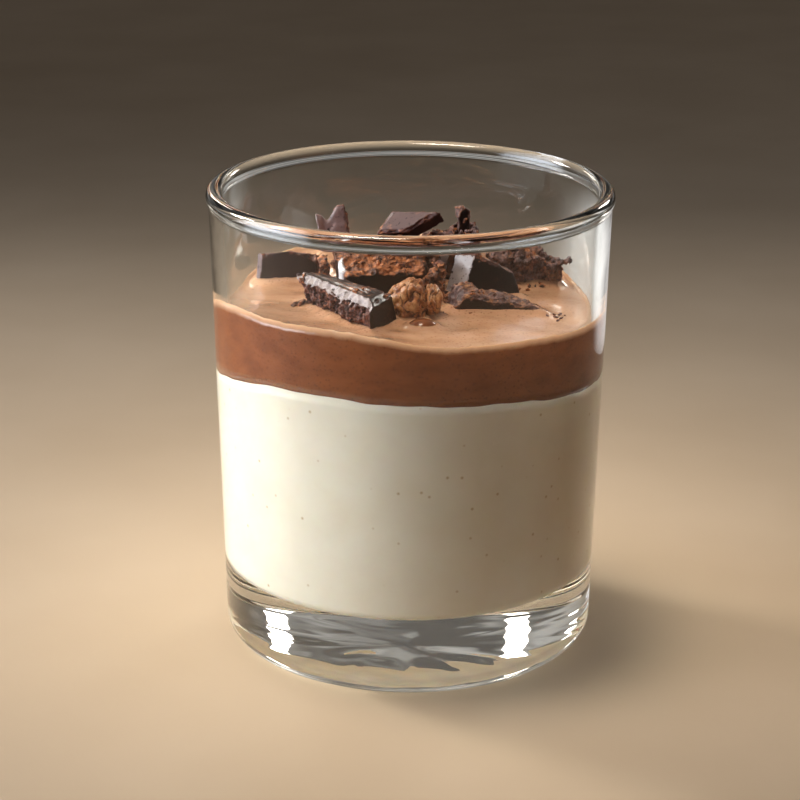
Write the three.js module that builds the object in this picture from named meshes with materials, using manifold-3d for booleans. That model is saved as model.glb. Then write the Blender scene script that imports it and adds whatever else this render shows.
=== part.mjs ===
// A layered dessert in a clear tumbler: ivory cream below, a chocolate mousse above it, and broken
// pieces of dark chocolate and one nut cluster heaped on top.
// Millimetres, +Z up. The origin is the middle of the standing ring. The front looks along -Y.
import * as THREE from "three";
import { mergeVertices } from "three/addons/utils/BufferGeometryUtils.js";
import { ImprovedNoise } from "three/addons/math/ImprovedNoise.js";
import Module from "manifold-3d";

const wasm = await Module();
wasm.setup();

// ---- Tumbler ----
const RIM_DIAMETER = 80;
const HEIGHT = 92.9;
const BEAD_DIAMETER = 3.3; // the fire-rounded bead along the rim
const OUTER_TOP_RADIUS = 39.45; // outside of the wall, just under the bead
const OUTER_BASE_RADIUS = 37.5; // outside of the wall, just above the heel
const HEEL_RADIUS = 4;
const INNER_TOP_RADIUS = 37.0;
const INNER_FLOOR_RADIUS = 34.3;
const FLOOR_HEIGHT = 15.8; // inside, on top of the thick clear base
const FLOOR_CORNER_RADIUS = 1.5;
const STANDING_RING = [28, 33.5]; // radii of the flat ring that the tumbler stands on
const DISH_DEPTH = 0.8; // hollow of the underside inside that ring
const DISH_SLOPE_WIDTH = 4; // over which the hollow rises from the ring to most of its depth
const DISH_SHOULDER_DEPTH = 0.56;
const GLASS_SIDES = 72;

// ---- Contents ----
const GAP = 0.3; // clearance between pieces that touch
const CONTENT_SIDES = 60;
const FACE_RINGS = 4; // rings across the hidden face between two layers
// The edge of each layer against the wall is a mean height with a few waves round it.
// Each wave is [height, azimuth of a crest in degrees], for 1, 2, 3 ... crests round the wall.
const CREAM_EDGE = {
  mean: 57.9,
  waves: [
    [1.17, 0],
    [1.68, -33],
    [0.22, -64],
    [0.28, 159],
    [0.28, 149],
  ],
};
const MOUSSE_EDGE = {
  mean: 71.3,
  waves: [
    [0.81, -105],
    [1.74, -39],
    [0.39, -150],
    [0.57, -169],
    [0.33, 26],
    [0.13, -67],
    [0.35, -129],
  ],
};
const MOUSSE_CENTRE_HEIGHT = 70.2;
const MOUSSE_RADIUS = 36.2; // of its top, inside the lip
const LIP_HEIGHT = 0.8; // the thin smear of mousse that clings above the edge
const LIP_STEPS = [
  // [inwards from the wall, height above the layer's edge]
  [0, LIP_HEIGHT],
  [0.7, 0.4],
  [1.7, -0.3],
];
const MOUSSE_RING_RADII = [31.5, 28, 23.5, 19, 14.5, 10, 5.5];
const FOLD_HEIGHT = 0.45; // soft folds left by the spoon
const FOLD_SIZE = [11, 8]; // across and from front to back
const SUNK = 0.9; // how deep the topping lies in the mousse
const ROOM = 0.7; // how far the mousse keeps back from the corners of a sunken piece
const ROOM_CELLS = [4, 3, 2];
const CLOSE_ROOM = 0.42; // the same, round a small piece and where one piece leans on another

// ---- Topping ----
const CELL = 2.7; // size of a facet on a broken face
const CHAMFER = 0.7; // width of the cell along the edges of a moulded face
const CHAMFER_DROP = 0.56; // how far the top edges lie below the top
// Roughness of a broken face: crags of two sizes, each [frequency per mm, height].
const BROAD_CRAGS = [0.31, 1.125];
const SMALL_CRAGS = [0.9, 0.6];

const COLOURS = {
  glass: 0xeef3f2,
  cream: 0xefe9dc,
  mousse: 0xb98763,
  chocolate: 0x2e1c18,
  dusted: 0x6b4430,
  nut: 0xb0804e,
};

const noise = new ImprovedNoise();

// ---------------------------------------------------------------- helpers

const radians = THREE.MathUtils.degToRad;
const lerp = THREE.MathUtils.lerp;

// Azimuth 0 is the front (-Y) and grows towards +X.
const azimuthOf = (x, y) => Math.atan2(x, -y);

function material(colour, roughness) {
  return new THREE.MeshStandardMaterial({ color: colour, roughness, metalness: 0 });
}

function node(name, geometry, surface) {
  const mesh = new THREE.Mesh(geometry, surface);
  mesh.name = name;
  return mesh;
}

// A closed geometry with one vertex for each place, whatever its faces' normals.
function welded(geometry) {
  geometry.deleteAttribute("normal");
  geometry.deleteAttribute("uv");
  return mergeVertices(geometry, 1e-3);
}

function solidOf(geometry) {
  return new wasm.Manifold(
    new wasm.Mesh({
      numProp: 3,
      vertProperties: new Float32Array(geometry.attributes.position.array),
      triVerts: new Uint32Array(geometry.index.array),
    }),
  );
}

function geometryOf(solid) {
  const { vertProperties, triVerts } = solid.getMesh();
  return new THREE.BufferGeometry()
    .setAttribute("position", new THREE.BufferAttribute(vertProperties, 3))
    .setIndex(new THREE.BufferAttribute(triVerts, 1));
}

// Calls rule(point) on every vertex, which moves it.
function reshape(geometry, rule) {
  const places = geometry.attributes.position;
  const point = new THREE.Vector3();
  for (let i = 0; i < places.count; i++) {
    point.fromBufferAttribute(places, i);
    rule(point);
    places.setXYZ(i, point.x, point.y, point.z);
  }
  return geometry;
}

// The same shape, a little larger all round: what is cut out of the neighbour that it lies in.
function grown(geometry, by) {
  const fat = geometry.clone();
  fat.computeVertexNormals();
  const places = fat.attributes.position;
  const normals = fat.attributes.normal;
  for (let i = 0; i < places.count; i++) {
    places.setXYZ(
      i,
      places.getX(i) + normals.getX(i) * by,
      places.getY(i) + normals.getY(i) * by,
      places.getZ(i) + normals.getZ(i) * by,
    );
  }
  fat.deleteAttribute("normal");
  return fat;
}

// The profile is [radius, height] pairs from the axis, up the outside and back to the axis.
function turned(profile, sides) {
  const points = profile.map(([radius, height]) => new THREE.Vector2(radius, height));
  return new THREE.LatheGeometry(points, sides).rotateX(Math.PI / 2);
}

// Points of an arc in a profile, with both ends.
function arc(centre, radius, from, to, steps) {
  return Array.from({ length: steps + 1 }, (_, i) => {
    const angle = radians(lerp(from, to, i / steps));
    return [centre[0] + radius * Math.cos(angle), centre[1] + radius * Math.sin(angle)];
  });
}

// ---------------------------------------------------------------- tumbler

function tumbler() {
  const beadRadius = BEAD_DIAMETER / 2;
  const beadCentre = [RIM_DIAMETER / 2 - beadRadius, HEIGHT - beadRadius];
  const outerJoin = HEIGHT - BEAD_DIAMETER;
  const cornerCut = FLOOR_CORNER_RADIUS * (1 - Math.SQRT1_2);
  const profile = [
    [0, DISH_DEPTH],
    [STANDING_RING[0] - DISH_SLOPE_WIDTH, DISH_SHOULDER_DEPTH],
    [STANDING_RING[0], 0],
    [STANDING_RING[1], 0],
    ...arc([OUTER_BASE_RADIUS - HEEL_RADIUS, HEEL_RADIUS], HEEL_RADIUS, -60, 0, 3),
    [lerp(OUTER_BASE_RADIUS, OUTER_TOP_RADIUS, 0.5), lerp(HEEL_RADIUS, outerJoin, 0.5)],
    [OUTER_TOP_RADIUS, outerJoin],
    ...arc(beadCentre, beadRadius, -40, 195, 8),
    [lerp(INNER_FLOOR_RADIUS, INNER_TOP_RADIUS, 0.5), lerp(FLOOR_HEIGHT, outerJoin, 0.5)],
    [INNER_FLOOR_RADIUS, FLOOR_HEIGHT + FLOOR_CORNER_RADIUS],
    [INNER_FLOOR_RADIUS - cornerCut, FLOOR_HEIGHT + cornerCut],
    [INNER_FLOOR_RADIUS - FLOOR_CORNER_RADIUS, FLOOR_HEIGHT],
    [INNER_FLOOR_RADIUS / 2, FLOOR_HEIGHT],
    [0, FLOOR_HEIGHT],
  ];
  return welded(turned(profile, GLASS_SIDES));
}

// Radius of the inner wall at a height.
function wallRadius(height) {
  const low = FLOOR_HEIGHT + FLOOR_CORNER_RADIUS;
  const high = HEIGHT - BEAD_DIAMETER;
  return lerp(INNER_FLOOR_RADIUS, INNER_TOP_RADIUS, (height - low) / (high - low));
}

// ---------------------------------------------------------------- cream and mousse

function edgeHeight({ mean, waves }, azimuth) {
  return waves.reduce(
    (sum, [height, crest], i) => sum + height * Math.cos((i + 1) * azimuth - radians(crest)),
    mean,
  );
}

// Height of the layer's upper face: its edge height at the wall, its mean height in the middle.
function layerHeight(edge, x, y) {
  const outwards = Math.hypot(x, y) / INNER_TOP_RADIUS;
  return lerp(edge.mean, edgeHeight(edge, azimuthOf(x, y)), outwards * outwards);
}

// Height of the mousse's surface, without its lip: nearly level, and rising or falling to its edge.
function mousseHeight(x, y) {
  const outwards = Math.min(1, Math.hypot(x, y) / MOUSSE_RADIUS);
  const rim = edgeHeight(MOUSSE_EDGE, azimuthOf(x, y)) - GAP;
  const fold = noise.noise(x / FOLD_SIZE[0], y / FOLD_SIZE[1], 0.4) * (1 - outwards ** 6);
  return lerp(MOUSSE_CENTRE_HEIGHT, rim, outwards ** 4) + FOLD_HEIGHT * fold;
}

// A turned layer from [radius, rule for the height at (x, y)] rings.
function layer(rings) {
  const blank = turned(
    rings.map(([radius], i) => [radius, i]),
    CONTENT_SIDES,
  );
  return welded(
    reshape(blank, (point) => {
      const [, heightAt] = rings[Math.round(point.z)];
      point.z = heightAt(point.x, point.y);
    }),
  );
}

function creamLayer() {
  const floor = FLOOR_HEIGHT + GAP;
  const corner = floor + FLOOR_CORNER_RADIUS;
  const top = (x, y) => layerHeight(CREAM_EDGE, x, y) - GAP;
  const rings = [
    [0, () => floor],
    [wallRadius(floor) - FLOOR_CORNER_RADIUS - GAP, () => floor],
    [wallRadius(corner) - GAP, () => corner],
    [wallRadius(CREAM_EDGE.mean) - GAP, top],
  ];
  for (let i = FACE_RINGS - 1; i >= 0; i--) {
    rings.push([(wallRadius(CREAM_EDGE.mean) * i) / FACE_RINGS, top]);
  }
  return layer(rings);
}

function mousseLayer() {
  const bottom = (x, y) => layerHeight(CREAM_EDGE, x, y);
  const low = wallRadius(CREAM_EDGE.mean) - GAP;
  const high = wallRadius(MOUSSE_EDGE.mean) - GAP;
  const rings = [];
  for (let i = 0; i <= FACE_RINGS; i++) {
    rings.push([(low * i) / FACE_RINGS, bottom]);
  }
  for (const [inwards, above] of LIP_STEPS) {
    rings.push([high - inwards, (x, y) => edgeHeight(MOUSSE_EDGE, azimuthOf(x, y)) + above]);
  }
  for (const radius of [...MOUSSE_RING_RADII, 0]) rings.push([radius, mousseHeight]);
  return layer(rings);
}

// ---------------------------------------------------------------- topping

// Each piece of chocolate is a block between four foot corners and four top corners, in the order
// front left, front right, back right, back left. A foot corner is [x, y] and lies in the mousse,
// or [x, y, z] where the piece rests on others. `broken` names the faces that were snapped or cut:
// left, right, front, back and top. The others are smooth as moulded.
const CHOCOLATE = {
  bar_front: {
    foot: [[-21.2, -7.4], [-7.1, -27.0], [-2.0, -18.2], [-16.4, -4.8]],
    top: [[-22.6, -4.2, 76.4], [-7.2, -26.2, 76.8], [-3.6, -17.2, 76.4], [-17.0, -3.4, 75.8]],
    broken: ["left", "front"],
  },
  block_left: {
    foot: [[-32.4, 10.6], [-19.4, 9.4], [-18.6, 16.2], [-30.6, 16.4]],
    top: [[-32.0, 10.8, 76.2], [-19.2, 9.2, 76.4], [-18.8, 15.6, 77.2], [-30.2, 16.2, 76.6]],
    broken: ["right", "top"],
  },
  shard_left: {
    foot: [[-18.6, 1.2], [-15.6, 2.4], [-15.8, 7.6], [-18.2, 7.8]],
    top: [[-18.4, 2.2, 75.0], [-16.4, 3.2, 75.8], [-16.6, 6.8, 77.2], [-18.0, 7.2, 76.2]],
    broken: ["left", "right", "front", "back", "top"],
  },
  block_middle: {
    foot: [[-12.2, -5.2], [2.9, -3.4], [3.4, 5.4], [-14.8, 4.8]],
    top: [[-12.6, -5.4, 76.2], [3.1, -3.2, 76.4], [3.2, 5.2, 78.4], [-15.2, 4.8, 77.6]],
    broken: ["right", "back", "top"],
  },
  rubble_right: {
    foot: [[3.7, -6.2], [6.9, -4.8], [5.6, 0.2], [4.1, 1.2]],
    top: [[4.2, -4.8, 74.8], [7.4, -3.4, 75.4], [6.6, -0.4, 78.4], [4.2, 0.6, 77.6]],
    broken: ["left", "right", "front", "back", "top"],
  },
  sliver_right: {
    foot: [[4.3, 2.4], [6.6, 3.4], [6.6, 6.2], [4.5, 6.0]],
    top: [[6.0, 1.8, 79.2], [8.2, 2.9, 79.6], [8.2, 4.4, 79.8], [6.2, 3.8, 79.6]],
    broken: ["right", "back"],
  },
  wedge_right: {
    foot: [[9.8, -3.2], [22.8, 0.2], [19.4, 3.6], [6.6, 1.4]],
    top: [[12.9, -1.2, 79.4], [20.0, 0.6, 75.4], [18.6, 2.4, 75.8], [9.2, 1.6, 79.2]],
    broken: ["right", "back"],
  },
  slab_right: {
    foot: [[8.6, -11.8], [26.8, -9.9], [24.6, -5.6], [6.4, -7.0]],
    top: [[10.5, -11.4, 74.2], [26.2, -9.6, 70.8], [23.8, -6.0, 71.8], [8.8, -6.4, 75.4]],
    broken: ["left", "right", "back", "top"],
  },
  chunk_far_right: {
    foot: [[17.4, 7.0], [31.2, 10.6], [27.6, 18.4], [15.8, 15.6]],
    top: [[16.4, 4.8, 76.6], [30.6, 10.8, 75.4], [26.4, 17.2, 76.6], [16.2, 13.6, 78.0]],
    broken: ["left", "right", "front", "back", "top"],
  },
  chunk_centre: {
    foot: [[-2.4, 7.8], [10.6, 8.2], [12.0, 15.4], [-1.0, 17.0]],
    top: [[-2.0, 7.6, 78.2], [9.6, 7.8, 77.6], [11.0, 14.4, 78.0], [-0.4, 16.2, 77.4]],
    broken: ["left", "right", "front", "top"],
  },
  chunk_behind: {
    foot: [[-12.9, 8.0], [-4.4, 11.4], [-8.3, 19.6], [-16.4, 16.0]],
    top: [[-12.4, 8.6, 77.4], [-5.2, 11.6, 78.2], [-8.6, 18.8, 76.8], [-15.6, 15.6, 76.4]],
    broken: ["left", "right", "back"],
  },
  shard_top: {
    foot: [[-4.4, 3.8, 77.6], [4.8, 4.6, 77.6], [4.2, 9.6, 77.2], [-3.2, 10.0, 77.2]],
    top: [[-3.8, 4.2, 80.0], [4.0, 4.8, 80.6], [3.6, 9.0, 79.6], [-2.8, 9.2, 79.4]],
    broken: ["left", "right", "back"],
  },
  rough_back: {
    foot: [[0.8, 18.6], [15.2, 18.4], [14.4, 29.6], [1.6, 30.2]],
    top: [[1.4, 19.6, 74.4], [15.0, 20.0, 77.6], [13.6, 28.2, 78.8], [3.0, 29.0, 75.8]],
    broken: ["left", "right", "front", "back", "top"],
  },
  rest_back: {
    foot: [[-8.6, 22.4], [-1.4, 20.8], [-0.6, 30.0], [-7.6, 31.6]],
    top: [[-8.0, 23.2, 74.6], [-1.8, 21.8, 76.0], [-1.6, 29.2, 77.6], [-6.8, 30.4, 76.8]],
    broken: ["left", "right", "front", "back", "top"],
  },
  plate_back: {
    foot: [[0.5, 24.7, 75.0], [7.2, 26.1, 78.6], [-2.8, 31.4, 77.4], [-6.2, 26.6, 73.6]],
    top: [[-0.5, 23.2, 77.6], [6.4, 24.8, 81.4], [-4.0, 29.8, 80.2], [-7.4, 25.2, 76.4]],
    broken: ["right"],
  },
  shard_back_left: {
    foot: [[-18.8, 25.0], [-11.2, 25.6], [-11.0, 30.4], [-16.8, 30.2]],
    top: [[-19.6, 26.4, 80.2], [-13.8, 26.8, 81.8], [-13.4, 28.4, 81.0], [-17.8, 29.4, 79.0]],
    broken: ["left", "right", "back", "top"],
  },
  splinter_back: {
    foot: [[10.2, 25.0, 75.4], [12.6, 25.4, 75.8], [12.2, 28.0, 75.8], [9.8, 27.6, 75.4]],
    top: [[9.7, 25.6, 82.0], [11.7, 26.0, 81.6], [11.6, 27.6, 81.4], [9.8, 27.4, 81.8]],
    broken: ["left", "right", "back", "top"],
  },
};

// The flake that sticks out of the far right piece towards the wall.
const FLAKE = {
  foot: [[28.4, 8.8, 73.2], [33.4, 8.6, 74.6], [33.2, 10.0, 74.8], [28.6, 11.2, 73.4]],
  top: [[28.4, 9.2, 75.2], [33.2, 8.8, 75.8], [33.0, 9.8, 75.9], [28.6, 10.8, 75.4]],
  broken: ["top"],
};

const NUGGET = {
  centre: [0.9, -13.0, 73.3],
  half: [5.1, 4.5, 4.0],
  crease: { x: 1.9, slope: 0.5, width: 0.7, depth: 1.0 }, // down its right side
  wrinkles: { frequency: 2.3, height: 0.16 }, // as shares of its size
  crinkles: { frequency: 5, height: 0.13 },
};
const CHIP = { centre: [2.4, -20.4], half: [2.9, 2.6], height: 1.7, skew: 0.08 };

// Which of a block's three shares of the way is at its end on each face, and at which end.
const FACES = {
  left: [0, 0],
  right: [0, 1],
  front: [1, 0],
  back: [1, 1],
  top: [2, 1],
};

function footCorner([x, y, z]) {
  return new THREE.Vector3(x, y, z ?? mousseHeight(x, y) - SUNK);
}

// A point of the block from its three shares of the way: left to right, front to back, foot to top.
function withinBlock(foot, top, [u, v, w]) {
  const across = (corners) => {
    const front = corners[0].clone().lerp(corners[1], u);
    const back = corners[3].clone().lerp(corners[2], u);
    return front.lerp(back, v);
  };
  return across(foot).lerp(across(top), w);
}

// Evenly spaced shares, but with the outermost cells only as wide as the chamfer.
function chamferedShare(share, cells, length) {
  const step = Math.round(share * cells);
  if (step === 0 || step === cells) return step / cells;
  const edge = CHAMFER / length;
  return lerp(edge, 1 - edge, (step - 1) / (cells - 2));
}

// Roughness at a point: broad crags with smaller ones on them.
function crag({ x, y, z }) {
  return [BROAD_CRAGS, SMALL_CRAGS].reduce(
    (sum, [rate, height]) => sum + height * noise.noise(x * rate, y * rate, z * rate),
    0,
  );
}

function chocolatePiece({ foot, top, broken }) {
  const feet = foot.map(footCorner);
  const tops = top.map((corner) => new THREE.Vector3(...corner));
  const edges = [feet[1], feet[3], tops[0]].map((end) => end.clone().sub(feet[0]));
  const lengths = edges.map((edge) => edge.length());
  const ways = edges.map((edge) => edge.clone().normalize());
  const cells = lengths.map((length) => Math.max(3, Math.round(length / CELL) + 1));
  const blank = welded(new THREE.BoxGeometry(1, 1, 1, ...cells));
  return reshape(blank, (point) => {
    const even = [point.x + 0.5, point.y + 0.5, point.z + 0.5];
    const shares = even.map((share, i) => chamferedShare(share, cells[i], lengths[i]));
    const place = withinBlock(feet, tops, shares);
    // The part that lies in the mousse is left plain, and the crags grow above it.
    const above = THREE.MathUtils.smoothstep(shares[2] * lengths[2], SUNK, SUNK * 2);
    const amount = above * crag(place);
    const onTopEdge = shares[2] === 1 && [0, 1].some((i) => shares[i] === 0 || shares[i] === 1);
    for (const face of broken) {
      const [axis, end] = FACES[face];
      if (shares[axis] === end) place.addScaledVector(ways[axis], end ? amount : -amount);
    }
    if (onTopEdge) place.z -= CHAMFER_DROP;
    point.copy(place);
  });
}

// The plain block between the same corners, a little larger: the room that a piece takes.
function roomOf({ foot, top }) {
  const feet = foot.map(footCorner);
  const tops = top.map((corner) => new THREE.Vector3(...corner));
  const blank = welded(new THREE.BoxGeometry(1, 1, 1, ...ROOM_CELLS));
  reshape(blank, (point) => {
    point.copy(withinBlock(feet, tops, [point.x + 0.5, point.y + 0.5, point.z + 0.5]));
  });
  return solidOf(grown(blank, ROOM));
}

// A crinkled cluster with a crease.
function nugget() {
  const { centre, half, crease, wrinkles, crinkles } = NUGGET;
  const ball = welded(new THREE.IcosahedronGeometry(1, 4));
  return reshape(ball, (point) => {
    const at = (rate) => noise.noise(point.x * rate + 5, point.y * rate, point.z * rate);
    const fromCrease = (point.x * half[0] - crease.x - crease.slope * point.y) / crease.width;
    const open = point.z > -0.4 ? (crease.depth / half[2]) * Math.exp(-(fromCrease ** 2)) : 0;
    const swell =
      1 +
      wrinkles.height * at(wrinkles.frequency) -
      crinkles.height * Math.abs(at(crinkles.frequency)) -
      open;
    point.set(point.x * half[0], point.y * half[1], point.z * half[2]).multiplyScalar(swell);
    point.add(new THREE.Vector3(...centre));
  });
}

// A flat drop of chocolate in front of the cluster.
function chip() {
  const { centre, half, height, skew } = CHIP;
  const level = mousseHeight(...centre);
  return reshape(welded(new THREE.IcosahedronGeometry(1, 2)), (point) => {
    point.set(
      centre[0] + point.x * half[0] * (1 + skew * point.y),
      centre[1] + point.y * half[1],
      level + point.z * (point.z > 0 ? height : SUNK),
    );
  });
}

// ---------------------------------------------------------------- assembly

const pieces = new Map();
for (const [name, shape] of Object.entries(CHOCOLATE)) pieces.set(name, chocolatePiece(shape));
pieces.set("nugget", nugget());
pieces.set("chip_front", chip());

const farRight = solidOf(pieces.get("chunk_far_right")).add(solidOf(chocolatePiece(FLAKE)));
pieces.set("chunk_far_right", geometryOf(farRight));

// A piece that leans on others presses into their broken faces.
const LEANS_ON = {
  plate_back: ["rest_back", "rough_back"],
  splinter_back: ["rough_back", "plate_back"],
  shard_top: ["block_middle", "chunk_centre"],
  nugget: ["bar_front"],
};
for (const [leaning, carriers] of Object.entries(LEANS_ON)) {
  const room = solidOf(grown(pieces.get(leaning), CLOSE_ROOM));
  for (const carrier of carriers) {
    pieces.set(carrier, geometryOf(solidOf(pieces.get(carrier)).subtract(room)));
  }
}

let mousse = solidOf(mousseLayer());
for (const shape of Object.values(CHOCOLATE)) mousse = mousse.subtract(roomOf(shape));
for (const name of ["nugget", "chip_front"]) {
  mousse = mousse.subtract(solidOf(grown(pieces.get(name), CLOSE_ROOM)));
}

const surfaces = {
  glass: material(COLOURS.glass, 0.05),
  cream: material(COLOURS.cream, 0.45),
  mousse: material(COLOURS.mousse, 0.3),
  chocolate: material(COLOURS.chocolate, 0.35),
  dusted: material(COLOURS.dusted, 0.7),
  nut: material(COLOURS.nut, 0.6),
};

const cup = new THREE.Group();
cup.add(node("glass", tumbler(), surfaces.glass));
cup.add(node("cream", creamLayer(), surfaces.cream));
cup.add(node("mousse", geometryOf(mousse), surfaces.mousse));
for (const [name, geometry] of pieces) {
  const dusted = name in CHOCOLATE && CHOCOLATE[name].broken.length > 3;
  const surface = name === "nugget" ? surfaces.nut : dusted ? surfaces.dusted : surfaces.chocolate;
  cup.add(node(name, geometry, surface));
}

export default cup;
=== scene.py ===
# A layered dessert in a clear tumbler: ivory cream, chocolate mousse, and on top a heap of broken
# dark chocolate with one nut cluster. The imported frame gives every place; this script gives the looks.
# Lengths are metres. Sizes are written in millimetres and multiplied by MM.
import math
import random

import bmesh
import bpy
from mathutils import Euler, Matrix, Vector, noise
from mathutils.bvhtree import BVHTree


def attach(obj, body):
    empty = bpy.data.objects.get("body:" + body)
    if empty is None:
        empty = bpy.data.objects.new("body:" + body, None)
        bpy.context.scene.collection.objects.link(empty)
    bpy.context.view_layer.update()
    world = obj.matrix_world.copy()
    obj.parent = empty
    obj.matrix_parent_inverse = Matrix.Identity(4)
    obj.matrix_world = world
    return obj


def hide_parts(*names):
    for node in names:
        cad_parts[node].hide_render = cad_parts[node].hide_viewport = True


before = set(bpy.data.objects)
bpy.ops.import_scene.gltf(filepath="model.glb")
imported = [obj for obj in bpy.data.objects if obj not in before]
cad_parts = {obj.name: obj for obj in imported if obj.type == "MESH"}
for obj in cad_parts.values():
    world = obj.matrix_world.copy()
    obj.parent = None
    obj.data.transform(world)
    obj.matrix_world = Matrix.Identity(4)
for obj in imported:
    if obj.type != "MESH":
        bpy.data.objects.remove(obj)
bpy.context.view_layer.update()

SEED = 7
noise.seed_set(SEED)  # noise_vector would otherwise shift with the time at which Blender starts

MM = 0.001
MERGE_DISTANCE = 0.001 * MM

# ---- Tumbler, as in the frame ----
RIM_RADIUS = 40.0
HEIGHT = 92.9
BEAD_RADIUS = 1.65  # the fire-rounded bead along the rim
OUTER_TOP_RADIUS = 39.45
OUTER_BASE_RADIUS = 37.5
HEEL_RADIUS = 4.0
INNER_TOP_RADIUS = 37.0
INNER_FLOOR_RADIUS = 34.3
FLOOR_HEIGHT = 15.8
FLOOR_CORNER_RADIUS = 1.5
RING_RADIUS = 28.0  # inner radius of the ring that it stands on
DISH_DEPTH = 0.8  # the hollow inside that ring
SHOULDER_WIDTH = 4.0  # this far inside the ring, the hollow has reached a share of its depth
SHOULDER_SHARE = 0.7
WALL_TOP = HEIGHT - 2 * BEAD_RADIUS
GLASS_STEPS = 192  # round the axis
END_RING = 0.002  # share of a wall between its end and the ring that keeps its shading true
FLOOR_WAVE = 0.2  # unevenness of the inner floor, of the underside and of the wall
UNDERSIDE_WAVE = 0.5
WALL_WAVE = 0.06
WAVE_SIZE = 9.0
WALL_WAVE_SIZE = 13.0
UNDERSIDE_FADE = 5.0  # the underside's waves die out over this width inside the ring

# ---- Contents, as in the frame ----
# The edge of a layer is a mean height and waves (height, azimuth of a crest), for 1, 2, 3 ... crests.
CREAM_EDGE = (57.9, ((1.17, 0), (1.68, -33), (0.22, -64), (0.28, 159), (0.28, 149)))
MOUSSE_EDGE = (
    71.3,
    ((0.81, -105), (1.74, -39), (0.39, -150), (0.57, -169), (0.33, 26), (0.13, -67), (0.35, -129)),
)
CREAM_WAVE = 0.35  # unevenness of the cream's upper edge
CREAM_WAVE_SIZE = 4.5
MOUSSE_CENTRE_HEIGHT = 70.2
LIP_HEIGHT = 0.55  # the smear of mousse that clings above its edge
LIP_REACH = 0.75  # how fast it falls away from the wall
LIP_WAVE = 0.22  # unevenness of its crest
LIP_WIDTH = 0.8  # the level mousse ends this far inside the wall, a drop below the edge
LIP_DROP = 0.3
FOLD_HEIGHT = 0.36  # soft folds left by the spoon
FINE_FOLDS = 0.16  # finer folds on them, as a share of their height
BITE = 0.14  # how far the contents reach into the wall, so that no air shows between them
CONTENT_STEPS = 288
LIP_ZONE = 2.6  # rings of the mousse are fine over this width, and even inside it
FINE_RING = 0.16
EVEN_RING = 0.35
MENISCUS_HEIGHT = 0.85  # mousse drawn up against a piece that lies in it
MENISCUS_REACH = 1.0
MENISCUS_LIFT = 0.5  # the distance to a piece is taken this far above the mousse

# ---- Camera ----
CAMERA_DISTANCE = 0.45714
CAMERA_ELEVATION = 19.524
CAMERA_ROLL = 0.345
CAMERA_TARGET = Vector((0, 0, 0.04645))
LENS = 101.78  # focal length and sensor width, in millimetres
SENSOR = 36
LENS_SHIFT = (-0.0116, 0.0108)

# ---- Settings that several shader nodes share ----
COLOURS = {"data_type": "RGBA"}
TINT = {"data_type": "RGBA", "blend_type": "MULTIPLY"}
PRODUCT = {"operation": "MULTIPLY"}


# ---------------------------------------------------------------- helpers


def linear(colour):
    """An sRGB hex colour as the linear colour that a shader takes."""
    shares = [int(colour[i : i + 2], 16) / 255 for i in (1, 3, 5)]
    return tuple(s / 12.92 if s <= 0.04045 else ((s + 0.055) / 1.055) ** 2.4 for s in shares) + (1.0,)


def add(tree, kind, settings=None, **inputs):
    """Adds a shader node. Settings are its own values, and a ramp's are (place, colour) pairs.
    Each input is a value or another node's output; an input named in_2 is the node's third one."""
    made = tree.nodes.new("ShaderNode" + kind)
    for name, value in (settings or {}).items():
        if name == "ramp":
            stops = made.color_ramp.elements
            for i, (place, colour) in enumerate(value):
                stop = stops[i] if i < len(stops) else stops.new(place)
                stop.position = place
                stop.color = linear(colour)
        else:
            setattr(made, name, value)
    for name, value in inputs.items():
        key = int(name[3:]) if name.startswith("in_") else name.replace("_", " ")
        if isinstance(value, bpy.types.NodeSocket):
            tree.links.new(value, made.inputs[key])
        else:
            made.inputs[key].default_value = value
    return made


def new_material(name):
    made = bpy.data.materials.new(name)
    made.use_nodes = True
    made.node_tree.nodes.clear()
    return made, made.node_tree


def deselect():
    bpy.ops.object.select_all(action="DESELECT")


def pick(piece):
    deselect()
    piece.select_set(True)
    bpy.context.view_layer.objects.active = piece


def apply_modifier(piece, kind, **settings):
    """Adds a modifier to the piece and applies it."""
    pick(piece)
    bpy.ops.object.modifier_add(type=kind)
    modifier = piece.modifiers[-1]
    for name, value in settings.items():
        setattr(modifier, name, value)
    bpy.ops.object.modifier_apply(modifier=modifier.name)


def finish_piece(piece, surface, slot_name, *nodes):
    """Gives a piece its material, its body and the CAD nodes that it stands for. slot_name is not used.
    """
    piece.data.materials.clear()
    piece.data.materials.append(surface)
    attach(piece, "root")
    if nodes:
        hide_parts(*nodes)
    return piece


def write_attribute(piece, name, values):
    made = piece.data.attributes.new(name, "FLOAT", "POINT")
    made.data.foreach_set("value", values)


def smooth(piece):
    pick(piece)
    bpy.ops.object.shade_smooth()


def lerp(a, b, share):
    return a + (b - a) * share


def smoothstep(low, high, value):
    share = min(1.0, max(0.0, (value - low) / (high - low)))
    return share * share * (3 - 2 * share)


def wander(place, size):
    """A smooth random number near 0 for a place, both in millimetres, that changes over a size."""
    return noise.noise(Vector(place) / size)


def arc(centre, radius, start, end, steps):
    """Points of an arc in a profile, with both ends. Angles are in degrees."""
    angles = [math.radians(lerp(start, end, i / steps)) for i in range(steps + 1)]
    return [(centre[0] + radius * math.cos(a), centre[1] + radius * math.sin(a)) for a in angles]


def between(start, end, share):
    """The place in a profile that is a share of the way from one place to another."""
    return lerp(start[0], end[0], share), lerp(start[1], end[1], share)


def line(start, end, steps):
    """Points between two places of a profile, without its ends."""
    return [between(start, end, i / steps) for i in range(1, steps)]


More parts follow.
